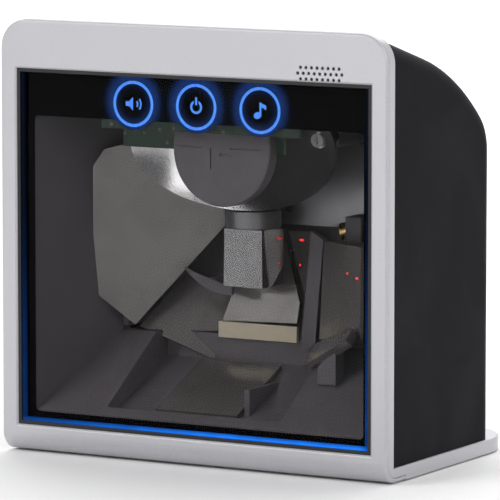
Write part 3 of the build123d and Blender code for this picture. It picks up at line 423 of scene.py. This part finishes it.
def litSymbols():
    # clear light pipes seen through the print; their front faces glow and are painted lit blue, and
    # their sides are painted dark as shade
    look = symbolLook
    finish, tree, shader = startFinish("litSymbols")
    ripple = noise(tree, scale=look["rippleScale"], detail=look["rippleDetail"])
    litFront = stretch(tree, faceNormal(tree)["Y"], look["frontFull"], look["frontEnd"], 1.0, 0.0)
    lit = tint(tree, ripple, look["coreDeep"], look["core"])
    setInputs(tree, shader, {
        "Base Color": tint(tree, litFront, look["pipeShadedSide"], look["pipeLitFront"]),
        "Emission Color": tint(tree, litFront, unlit, lit),
        "Emission Strength": look["coreStrength"],
    })
    return finish


# the U-shaped guide is brightest along its foot and dies away up the sides
guideLook = {
    "colour": (0.001, 0.17, 0.85), "strength": 1.15, "dark": (0.003, 0.005, 0.012),
    "clear": (0.02, 0.05, 0.2), "leftEnd": 0.26, "fullFrom": 0.35, "rightFrom": 0.95,
    "rightSide": 0.4, "top": 0.01, "topFrom": 0.7, "sides": 0.30,
    "turnLow": 0.4 * mm, "turnHigh": 1.6 * mm, "rippleScale": 120.0, "rippleDetail": 2.0,
    "noiseLow": 0.3, "noiseHigh": 0.7, "rippleLow": 0.8, "rippleHigh": 1.1,
}


def guideGlow(tree):
    look = guideLook
    _, across, _, high = place(tree)
    along = stretch(tree, across, guideLow.x, look["fullFrom"] * guideHigh.x, look["leftEnd"], 1.0,
                    smooth=True)
    climb = stretch(tree, high, guideLow.z, look["topFrom"] * guideHigh.z, 1.0, look["top"],
                    smooth=True)
    turn = stretch(tree, high, guideLow.z + look["turnLow"], guideLow.z + look["turnHigh"], 1.0,
                   look["sides"])
    right = stretch(tree, across, look["rightFrom"] * guideHigh.x, guideHigh.x, 1.0,
                    look["rightSide"])
    ripple = stretch(tree, noise(tree, scale=look["rippleScale"], detail=look["rippleDetail"]),
                     look["noiseLow"], look["noiseHigh"], look["rippleLow"], look["rippleHigh"])
    glow = mathNode(tree, "MULTIPLY", along, mathNode(tree, "MULTIPLY", climb, turn))
    return mathNode(tree, "MULTIPLY", mathNode(tree, "MULTIPLY", glow, right), ripple)


def litGuide():
    look = guideLook
    finish, tree, shader = startFinish("litGuide")
    glow = guideGlow(tree)
    setInputs(tree, shader, {
        # the guide's own colour is painted lighter where it glows, as lit plastic, and stays dark where
        # it does not
        "Base Color": tint(tree, glow, look["dark"], look["clear"]),
        "Specular IOR Level": 0.0,
        "Emission Color": tint(tree, glow, unlit, look["colour"]),
        "Emission Strength": look["strength"],
    })
    return finish


# mirrors
mirrorLooks = {
    "patternMirror": {"colour": (0.27, 0.26, 0.25), "hazed": (0.22, 0.21, 0.205),
                      "roughness": 0.16, "metallic": 0.6},
    "facetMirror": {"colour": (0.36, 0.36, 0.36), "hazed": (0.30, 0.30, 0.30),
                    "roughness": 0.06, "metallic": 0.9},
    "dishMirror": {"colour": (0.85, 0.85, 0.84), "hazed": (0.74, 0.74, 0.74),
                   "roughness": 0.14, "metallic": 1.0},
}
mirrorWear = {"handSize": 80.0, "handAmount": 0.8, "haze": 0.08}


def mirrorCoat(name):
    look, wear = mirrorLooks[name], mirrorWear
    finish, tree, shader = startFinish(name)
    hands = handMarks(tree, wear)
    rough = look["roughness"]
    setInputs(tree, shader, {
        "Base Color": tint(tree, hands, look["colour"], look["hazed"]),
        "Roughness": stretch(tree, hands, 0.0, 1.0, rough, rough + wear["haze"]),
        "Metallic": look["metallic"],
    })
    return finish


# lens of the laser, lit from behind
lensLook = {"colour": (0.9, 0.9, 0.95), "glow": (0.9, 0.85, 0.85), "clean": (1, 1, 1),
            "strength": 1.2, "handSize": 200.0, "handAmount": 0.5}


def clearLens():
    look = lensLook
    finish, tree, shader = startFinish("clearLens")
    hands = handMarks(tree, look)
    setInputs(tree, shader, {
        "Base Color": tint(tree, hands, look["colour"], look["clean"]),
        "Emission Color": tint(tree, hands, look["glow"], look["clean"]),
        "Emission Strength": look["strength"],
    })
    return finish


# one finish for each CAD material, and a few nodes with their own
finishes = {
    "silver_shell": silverPaint(),
    "dark_shell": charcoalPlastic(),
    "base_plastic": mouldedPlastic("basePlastic"),
    "rubber": mouldedPlastic("footRubber"),
    "smoked_glass": smokedGlass(),
    "black_print": borderPrint(),
    "black_plastic": mouldedPlastic("blackPlastic"),
    "light_plastic": litSymbols(),
    "circuit_board": circuitBoard(),
    "tray_plastic": mouldedPlastic("trayPlastic"),
    "pale_plastic": mouldedPlastic("creamPlastic"),
    "mirror_glass": mirrorCoat("patternMirror"),
    "collector_coating": mirrorCoat("dishMirror"),
    "diode_window": mouldedPlastic("diodeFilter"),
    "laser_window": clearLens(),
    "brass": plainMetal("turnedBrass"),
    "aluminium": plainMetal("turnedAluminium"),
    "motor_iron": mouldedPlastic("motorIron"),
    "steel": plainMetal("zincSteel"),
}
ownFinishes = {
    "light_guide": litGuide(),
    "polygon_mirror": mirrorCoat("facetMirror"),
    "sensor_cover": finishes["tray_plastic"],
}

for part in frame["record"]["subparts"]:
    name = part["node"]
    mesh = nodes[name].data
    mesh.materials.clear()
    mesh.materials.append(ownFinishes.get(name, finishes[part["material_slot"]]))
print("stage: finishes placed")

# small red streaks where the laser's light shows on the mirrors; across and up are shares of
# the mirror's own width and height
glintLook = {
    "radius": 0.45 * mm, "flatness": 0.5, "colour": (1.0, 0.03, 0.02), "deep": (0.7, 0.01, 0.01),
    "body": (0.3, 0.02, 0.02, 1), "strength": 2.2, "flickerScale": 1800.0,
    "startGap": 20 * mm, "segments": 16, "rings": 8,
    "spots": (
        {"mirror": "mirror_right", "across": 0.86, "up": 0.70, "length": 2.2},
        {"mirror": "mirror_right", "across": 0.62, "up": 0.72, "length": 1.0},
        {"mirror": "mirror_inner_right", "across": 0.55, "up": 0.85, "length": 3.2},
        {"mirror": "mirror_inner_right", "across": 0.50, "up": 0.45, "length": 1.0},
    ),
}


def glintFinish():
    look = glintLook
    finish, tree, shader = startFinish("laserGlint")
    flicker = noise(tree, scale=look["flickerScale"])
    setInputs(tree, shader, {
        "Base Color": look["body"],
        "Emission Color": tint(tree, flicker, look["deep"], look["colour"]),
        "Emission Strength": look["strength"],
    })
    return finish


def laserGlints():
    look = glintLook
    finish = glintFinish()
    depsgraph = bpy.context.evaluated_depsgraph_get()
    backward = Vector((0, 1, 0))
    for spot in look["spots"]:
        low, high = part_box(spot["mirror"])
        start = Vector((low.x + spot["across"] * (high.x - low.x), low.y - look["startGap"],
                        low.z + spot["up"] * (high.z - low.z)))
        mirror = nodes[spot["mirror"]].evaluated_get(depsgraph)
        hit, point, _, _ = mirror.ray_cast(start, backward)
        if not hit:
            continue
        bpy.ops.mesh.primitive_uv_sphere_add(segments=look["segments"], ring_count=look["rings"],
                                             radius=1.0, location=point)
        glint = bpy.context.object
        glint.name = "laserGlint"
        radius = look["radius"]
        glint.scale = (radius * spot["length"], radius * look["flatness"], radius)
        glint.data.materials.append(finish)
        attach(glint, "chassis")


laserGlints()
print("stage: laser glints added")

# studio: white paper floor, soft lights, and a room that is dim in front of the scanner
studioLook = {
    "floor": (0.90, 0.90, 0.90), "floorRoughness": 0.9, "floorHalf": 6.0,
    "world": (1.0, 1.0, 1.0), "dim": (0.22, 0.22, 0.23), "worldStrength": 0.9,
    "behindFrom": -0.35, "behindFull": 0.25,
    "overheadFrom": 0.30, "overheadFull": 0.75, "overheadShare": 0.5,
}
middle = (0, 0, 0.07)
lightLooks = {
    "keyLight": {"spot": (-0.9, -1.4, 1.1), "aim": middle, "size": 0.9, "power": 14.0},
    "lowLight": {"spot": (-0.25, -1.7, 0.16), "aim": (0, 0, 0.02), "size": 0.7, "power": 4.0},
    "fillLight": {"spot": (1.5, -0.9, 0.9), "aim": middle, "size": 1.0, "power": 8.0},
    "backdropLight": {"spot": (-0.9, 1.9, 1.5), "aim": (-0.9, 1.9, 0.0), "size": 2.2, "power": 45.0},
    "topLight": {"spot": (0.1, 0.5, 1.6), "aim": middle, "size": 0.9, "power": 4.0},
}
cameraLook = {
    "lens": 347.3, "sensor": 36.0, "nearest": 0.05, "farthest": 30.0,
    "spot": (0.8111, -1.44197, 0.2732), "right": (0.87028, 0.49257, 0.0),
    "up": (-0.06027, 0.10648, 0.99250),
}


def buildFloor():
    mesh = bpy.data.meshes.new("studioFloor")
    half = studioLook["floorHalf"]
    corners = [(-half, -half, 0), (half, -half, 0), (half, half, 0), (-half, half, 0)]
    mesh.from_pydata(corners, [], [(0, 1, 2, 3)])
    floor = bpy.data.objects.new("studioFloor", mesh)
    bpy.context.scene.collection.objects.link(floor)
    paper, tree, shader = startFinish("studioPaper")
    setInputs(tree, shader, {"Base Color": (*studioLook["floor"], 1),
                             "Roughness": studioLook["floorRoughness"]})
    mesh.materials.append(paper)


def softBox(name, look):
    data = bpy.data.lights.new(name, "AREA")
    data.shape, data.size, data.energy = "SQUARE", look["size"], look["power"]
    light = bpy.data.objects.new(name, data)
    bpy.context.scene.collection.objects.link(light)
    light.location = look["spot"]
    towards = Vector(look["aim"]) - Vector(look["spot"])
    light.rotation_euler = towards.to_track_quat("-Z", "Y").to_euler()


def buildRoom():
    # the room is bright behind the scanner and half as bright over it
    look = studioLook
    world = bpy.data.worlds.new("studioWorld")
    world.use_nodes = True
    bpy.context.scene.world = world
    sky = world.node_tree
    direction = addNode(sky, "ShaderNodeTexCoord").outputs["Generated"]
    parts = addNode(sky, "ShaderNodeSeparateXYZ", {0: direction}).outputs
    behind = stretch(sky, parts["Y"], look["behindFrom"], look["behindFull"], 0.0, 1.0, smooth=True)
    overhead = stretch(sky, parts["Z"], look["overheadFrom"], look["overheadFull"], 0.0,
                       look["overheadShare"], smooth=True)
    glow = mathNode(sky, "MAXIMUM", behind, overhead)
    setInputs(sky, sky.nodes["Background"], {
        "Color": tint(sky, glow, look["dim"], look["world"]), "Strength": look["worldStrength"]})


def buildCamera():
    look = cameraLook
    lens = bpy.data.cameras.new("studioCamera")
    lens.lens, lens.sensor_width = look["lens"], look["sensor"]
    lens.clip_start, lens.clip_end = look["nearest"], look["farthest"]
    camera = bpy.data.objects.new("studioCamera", lens)
    scene = bpy.context.scene
    scene.collection.objects.link(camera)
    right, up = Vector(look["right"]), Vector(look["up"])
    turn = Matrix((right, up, right.cross(up))).transposed().to_4x4()
    camera.matrix_world = Matrix.Translation(Vector(look["spot"])) @ turn
    scene.camera = camera


buildFloor()
for name, look in lightLooks.items():
    softBox(name, look)
buildRoom()
buildCamera()
bpy.context.scene.view_settings.view_transform = "Standard"
print("stage: studio ready")
